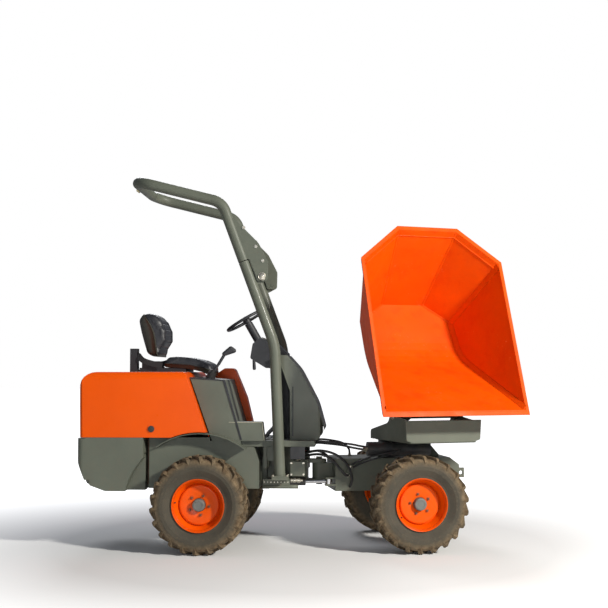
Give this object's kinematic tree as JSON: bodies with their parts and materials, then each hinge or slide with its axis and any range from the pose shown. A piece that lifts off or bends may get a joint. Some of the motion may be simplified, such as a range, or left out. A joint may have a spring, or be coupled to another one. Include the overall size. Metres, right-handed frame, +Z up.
{
  "type": "site dumper",
  "caption": "Small articulated site dumper with a swivelling, tipping skip ahead of an open driving place under a folding roll bar.",
  "frame": {"origin": "middle of the box around the machine, on the ground", "axes": "+X towards the skip end of the rear body, +Y to the driver's left, +Z up"},
  "size_m": [3.5521, 1.9126, 3.002],
  "materials": {
    "orange_paint": "satin",
    "grey_paint": "satin",
    "black_paint": "satin",
    "black_plastic": "matte",
    "seat_cover": "matte",
    "steel": "satin",
    "chrome": "polished",
    "lamp_glass": "gloss",
    "tyre": "matte"
  },
  "bodies": {
    "rear": {"rear_chassis": "grey_paint", "side_tanks": "grey_paint", "counterweight": "grey_paint", "engine": "black_plastic", "exhaust": "steel", "rear_axle": "grey_paint", "mudguards": "grey_paint", "side_console": "orange_paint", "seat_box": "grey_paint", "floor_plate": "grey_paint", "cowl": "grey_paint", "dash": "black_plastic", "controls": "black_plastic", "rops_legs": "grey_paint"},
    "hood": {"hood": "orange_paint", "seat_base": "black_plastic", "seat_cushion": "seat_cover"},
    "seat_back": {"seat_back": "seat_cover"},
    "steering_wheel": {"steering_wheel": "black_plastic"},
    "hoop": {"rops_hoop": "grey_paint", "rear_lamp": "lamp_glass"},
    "front": {"front_chassis": "grey_paint", "front_axle": "grey_paint", "slew_drive": "black_paint"},
    "skip_turn": {"skip_frame": "grey_paint"},
    "skip": {"skip_floor": "orange_paint", "skip_back": "orange_paint", "skip_side_left": "orange_paint", "skip_side_right": "orange_paint", "skip_edge": "orange_paint", "skip_bracket": "grey_paint"},
    "tip_barrel": {"tip_barrel": "grey_paint"},
    "tip_rod": {"tip_rod": "chrome"},
    "steer_barrel": {"steer_barrel": "black_paint"},
    "steer_rod": {"steer_rod": "chrome"},
    "wheel_front_left": {"tyre_front_left": "tyre", "rim_front_left": "orange_paint"},
    "wheel_front_right": {"tyre_front_right": "tyre", "rim_front_right": "orange_paint"},
    "wheel_rear_left": {"tyre_rear_left": "tyre", "rim_rear_left": "orange_paint"},
    "wheel_rear_right": {"tyre_rear_right": "tyre", "rim_rear_right": "orange_paint"}
  },
  "joints": [
    {"name": "steer", "type": "hinge", "parent": "rear", "child": "front", "pos_m": [0.117, 0.035, 0.595], "axis": [0, 0, 1], "range_deg": [-47, 23]},
    {"name": "swivel", "type": "hinge", "parent": "front", "child": "skip_turn", "pos_m": [0.82713, 0.18594, 0.845], "axis": [0, 0, 1], "range_deg": [-10.6, 169.4]},
    {"name": "tip", "type": "hinge", "parent": "skip_turn", "child": "skip", "pos_m": [0.98892, -0.20273, 1.065], "axis": [0.9232, 0.3843, 0], "range_deg": [-63.4, 10]},
    {"name": "tip_barrel_swing", "type": "hinge", "parent": "skip_turn", "child": "tip_barrel", "pos_m": [0.71953, 0.44444, 0.905], "axis": [0.9232, 0.3843, 0], "range_deg": [-9, 3]},
    {"name": "tip_rod_slide", "type": "slide", "parent": "tip_barrel", "child": "tip_rod", "axis": [0.3566, -0.8567, 0.3727], "range_m": [-0.19, 0.04]},
    {"name": "steer_barrel_swing", "type": "hinge", "parent": "rear", "child": "steer_barrel", "pos_m": [-0.305, -0.17, 0.52], "axis": [0, 0, 1], "range_deg": [-4, 3]},
    {"name": "steer_rod_slide", "type": "slide", "parent": "steer_barrel", "child": "steer_rod", "axis": [0.9953, 0.0966, 0], "range_m": [-0.15, 0.08]},
    {"name": "hood_hinge", "type": "hinge", "parent": "rear", "child": "hood", "pos_m": [-1.718, 0.035, 0.655], "axis": [0, -1, 0], "range_deg": [0, 55]},
    {"name": "seat_back_fold", "type": "hinge", "parent": "hood", "child": "seat_back", "pos_m": [-1.283, 0.035, 1.478], "axis": [0, 1, 0], "range_deg": [0, 30]},
    {"name": "steering_wheel_turn", "type": "hinge", "parent": "rear", "child": "steering_wheel", "pos_m": [-0.493, 0.035, 1.843], "axis": [-0.5, 0, 0.866], "continuous": true},
    {"name": "hoop_fold", "type": "hinge", "parent": "rear", "child": "hoop", "pos_m": [-0.315, 0.035, 2.168], "axis": [0, -1, 0], "range_deg": [-110, 0]},
    {"name": "wheel_front_left_turn", "type": "hinge", "parent": "front", "child": "wheel_front_left", "pos_m": [0.66988, 0.75263, 0.38], "axis": [-0.2079, 0.9781, 0], "continuous": true},
    {"name": "wheel_front_right_turn", "type": "hinge", "parent": "front", "child": "wheel_front_right", "pos_m": [0.91397, -0.39571, 0.38], "axis": [-0.2079, 0.9781, 0], "continuous": true},
    {"name": "wheel_rear_left_turn", "type": "hinge", "parent": "rear", "child": "wheel_rear_left", "pos_m": [-0.788, 0.622, 0.38], "axis": [0, 1, 0], "continuous": true},
    {"name": "wheel_rear_right_turn", "type": "hinge", "parent": "rear", "child": "wheel_rear_right", "pos_m": [-0.788, -0.552, 0.38], "axis": [0, 1, 0], "continuous": true}
  ],
  "couplings": [
    {"joint": "tip_barrel_swing", "follows": "tip", "ratio": 0.097},
    {"joint": "tip_rod_slide", "follows": "tip", "m_per_rad": 0.163},
    {"joint": "steer_barrel_swing", "follows": "steer", "ratio": 0.05},
    {"joint": "steer_rod_slide", "follows": "steer", "m_per_rad": 0.168}
  ]
}
